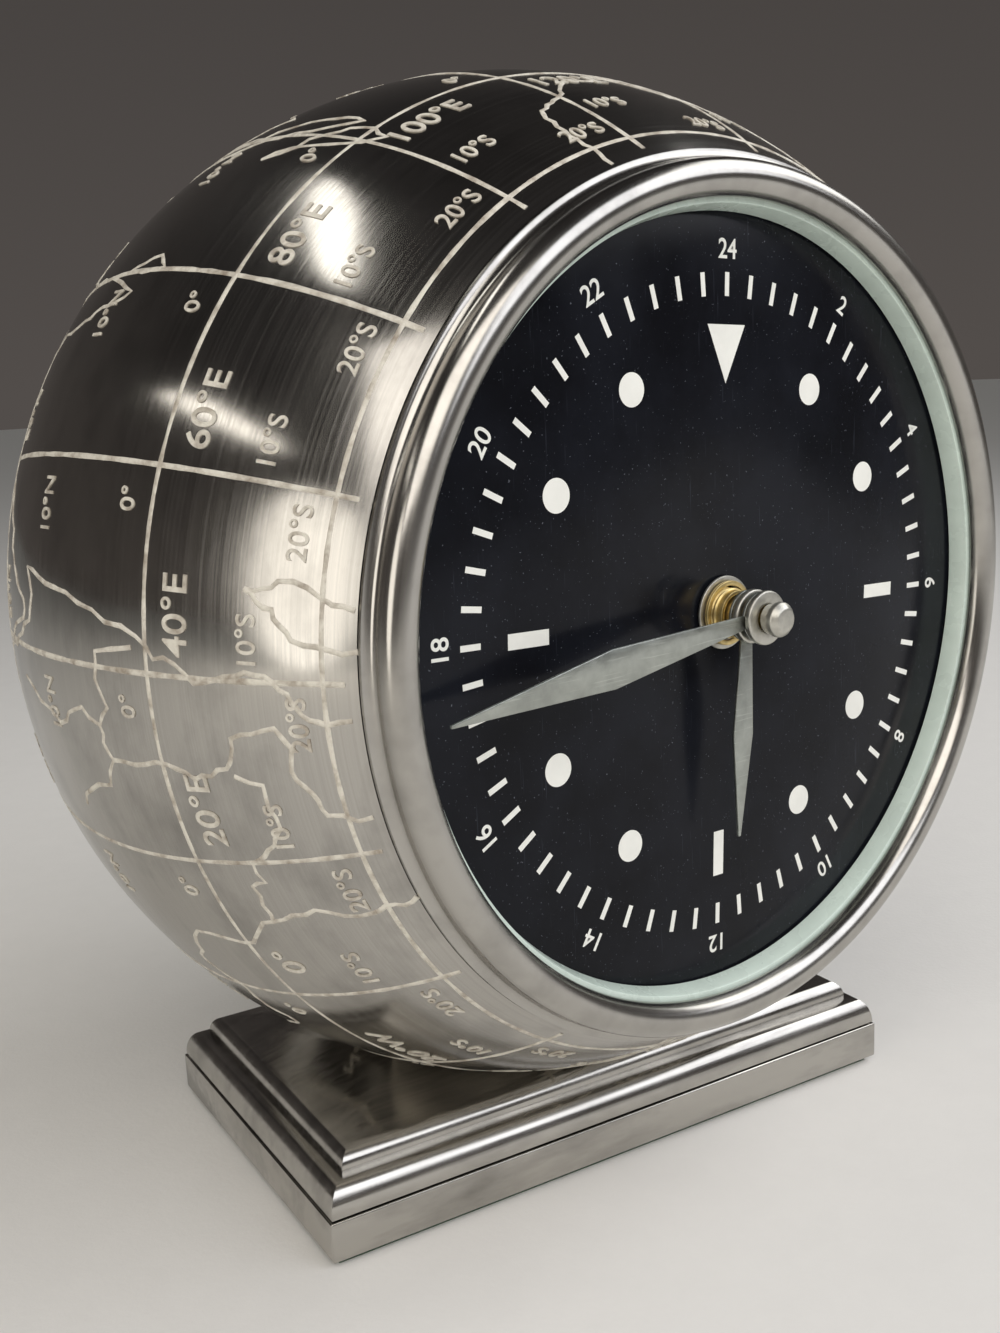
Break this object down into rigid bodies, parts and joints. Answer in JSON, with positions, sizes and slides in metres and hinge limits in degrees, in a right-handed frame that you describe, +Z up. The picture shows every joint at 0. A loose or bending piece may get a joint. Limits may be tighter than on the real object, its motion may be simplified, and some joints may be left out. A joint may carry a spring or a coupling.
{
  "type": "globe clock",
  "caption": "Table clock: a polished metal globe with an engraved map, a round black dial with two hands set into its front, on a moulded rectangular base.",
  "frame": {"origin": "centre of the base's underside, on the table, straight below the globe's centre", "axes": "+Z up, -Y the way the dial faces, +X to the right of someone reading the dial; the base is turned 7.7 degrees clockwise under the globe, as pictured"},
  "size_m": [0.1766, 0.1555, 0.1891],
  "materials": {
    "plated": "mirror polished, faintly brushed round the dial's axis",
    "felt": "short green pile",
    "steel": "plain turned",
    "brass": "bright turned",
    "dial_black": "gloss black with white print",
    "spacer_plastic": "pale green-white, satin",
    "hand_silver": "silvered, scratched along its length",
    "case_plastic": "black, matte",
    "wheel_plastic": "white, satin",
    "board_laminate": "green lacquer",
    "copper_wire": "lacquered copper wire",
    "battery_sleeve": "printed sleeve, plain grey"
  },
  "bodies": {
    "base": {"base_felt": "felt", "base_plate": "plated", "moulded_plinth": "plated", "swivel_screw": "steel", "swivel_spring_washer": "steel", "swivel_lock_nut": "steel"},
    "globe": {"globe_shell": "plated", "swivel_saddle": "brass", "dial_seat_ring": "brass", "dial_plate": "dial_black", "spacer_ring": "spacer_plastic", "bezel": "plated", "bezel_screw_1": "steel", "bezel_screw_2": "steel", "bezel_screw_3": "steel", "rear_seat_ring": "brass", "dial_washer": "plated", "bush_nut": "brass", "threaded_bush": "brass", "movement_case": "case_plastic", "movement_lid": "case_plastic", "circuit_board": "board_laminate", "stator": "steel", "coil": "copper_wire", "battery_contact_plus": "brass", "battery_contact_minus": "brass"},
    "back_cap": {"rear_cover": "plated"},
    "cell": {"battery": "battery_sleeve"},
    "minute_set": {"minute_arbor": "brass", "minute_hand": "hand_silver", "minute_hand_bush": "plated", "hand_nut": "plated"},
    "hour_set": {"hour_wheel": "brass", "hour_hand": "hand_silver", "hour_hand_bush": "plated"},
    "motion_set": {"motion_wheel": "wheel_plastic"},
    "third_set": {"third_wheel": "wheel_plastic"},
    "rotor_set": {"rotor": "steel"},
    "knob_set": {"setting_knob": "wheel_plastic"}
  },
  "joints": [
    {"name": "globe_swivel", "type": "hinge", "parent": "base", "child": "globe", "pos_m": [0, 0, 0.0125], "axis": [0, 0, 1], "continuous": true},
    {"name": "back_cap_pull", "type": "slide", "parent": "globe", "child": "back_cap", "axis": [0, 1, 0], "range_m": [0, 0.04]},
    {"name": "cell_pull", "type": "slide", "parent": "globe", "child": "cell", "axis": [0, 1, 0], "range_m": [0, 0.06]},
    {"name": "minute_turn", "type": "hinge", "parent": "globe", "child": "minute_set", "pos_m": [0, -0.0541, 0.1008], "axis": [0, 1, 0], "continuous": true},
    {"name": "hour_turn", "type": "hinge", "parent": "globe", "child": "hour_set", "pos_m": [0, -0.0541, 0.1008], "axis": [0, 1, 0], "continuous": true},
    {"name": "motion_turn", "type": "hinge", "parent": "globe", "child": "motion_set", "pos_m": [0.0048, -0.0497, 0.10911], "axis": [0, 1, 0], "continuous": true},
    {"name": "third_turn", "type": "hinge", "parent": "globe", "child": "third_set", "pos_m": [-0.00459, -0.0451, 0.10875], "axis": [0, 1, 0], "continuous": true},
    {"name": "rotor_turn", "type": "hinge", "parent": "globe", "child": "rotor_set", "pos_m": [-0.002, -0.0435, 0.11585], "axis": [0, 1, 0], "continuous": true},
    {"name": "knob_turn", "type": "hinge", "parent": "globe", "child": "knob_set", "pos_m": [0.01425, -0.0341, 0.11078], "axis": [0, 1, 0], "continuous": true}
  ],
  "couplings": [
    {"joint": "hour_turn", "follows": "minute_turn", "ratio": 0.083333},
    {"joint": "motion_turn", "follows": "minute_turn", "ratio": -0.33333},
    {"joint": "third_turn", "follows": "minute_turn", "ratio": -7.5},
    {"joint": "rotor_turn", "follows": "minute_turn", "ratio": 45},
    {"joint": "knob_turn", "follows": "minute_turn", "ratio": 1}
  ]
}
